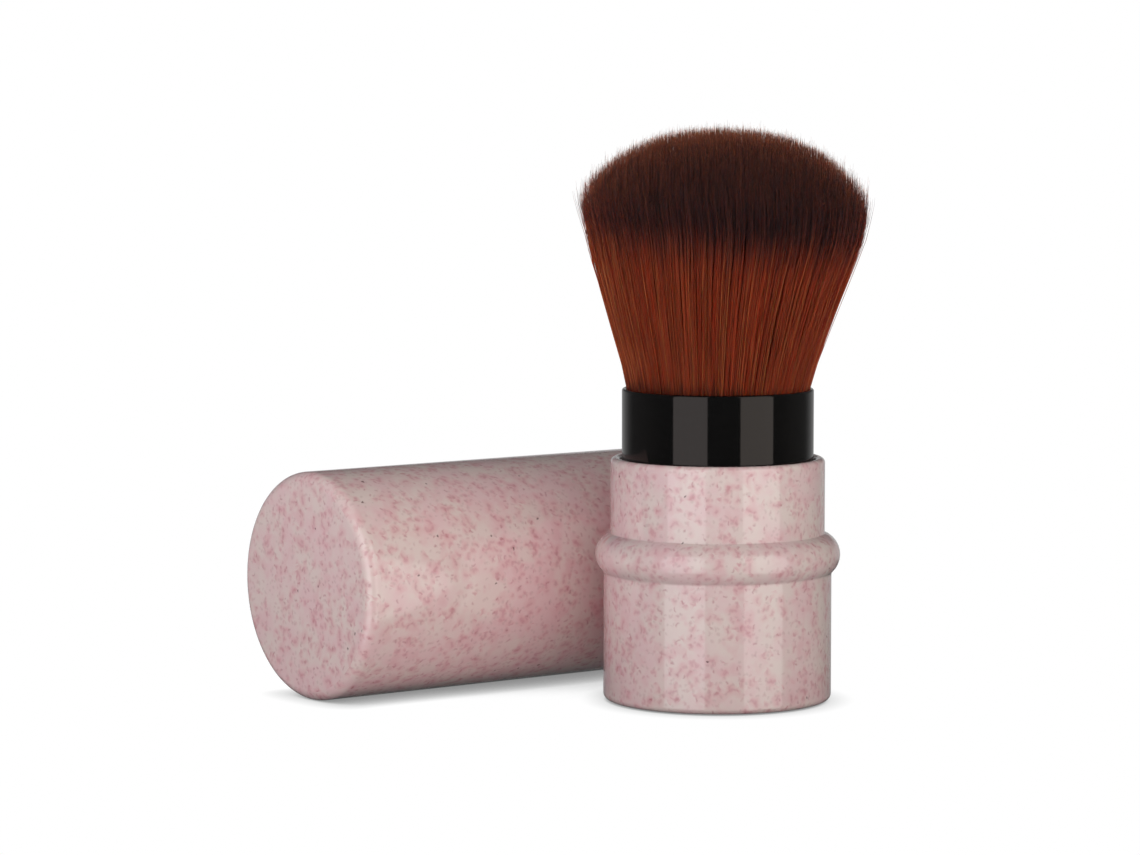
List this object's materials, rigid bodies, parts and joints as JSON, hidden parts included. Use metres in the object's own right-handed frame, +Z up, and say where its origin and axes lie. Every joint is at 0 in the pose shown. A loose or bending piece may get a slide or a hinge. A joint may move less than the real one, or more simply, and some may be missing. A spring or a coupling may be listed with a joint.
{
  "type": "retractable makeup brush",
  "caption": "Short powder brush whose speckled sleeve slides up over the ferrule to gather its flared bristles, with its long cylindrical cap lying beside it.",
  "frame": {"origin": "middle of the foot's flat underside, on the brush's axis, on the surface that the brush stands on", "axes": "+Z up along the brush's axis, from the foot to the bristle tips; -X the way the taken-off cap's closed end points; +Y from the brush towards the cap behind it"},
  "size_m": [0.076, 0.0787, 0.0901],
  "materials": {
    "speckled_pink": "glossy pale grey-pink with rose flecks",
    "gloss_black": "glossy black",
    "black_plastic": "satin black",
    "steel": "plain turned steel",
    "rubber": "matt black rubber",
    "bristle_brown": "fine nylon hair, rust below, dark brown in the middle, reddish tips"
  },
  "bodies": {
    "brush": {"end_plate": "speckled_pink", "core_tube": "black_plastic", "weight_ring": "steel", "holder_screw": "steel", "bristle_holder": "black_plastic", "ferrule": "gloss_black", "friction_ring": "rubber", "bristles_1": "bristle_brown", "bristles_2": "bristle_brown", "bristles_3": "bristle_brown", "bristles_4": "bristle_brown"},
    "sleeve": {"outer_sleeve": "speckled_pink", "retaining_ring": "black_plastic"},
    "cap": {"cap_shell": "speckled_pink"}
  },
  "joints": [
    {"name": "sleeve_slide", "type": "slide", "parent": "brush", "child": "sleeve", "axis": [0, 0, 1], "range_m": [0, 0.018], "deforming": ["bristles_1", "bristles_2", "bristles_3", "bristles_4"]},
    {"name": "cap_pull", "type": "slide", "parent": "brush", "child": "cap", "axis": [-1, 0, 0], "range_m": [0, 0.07]}
  ]
}
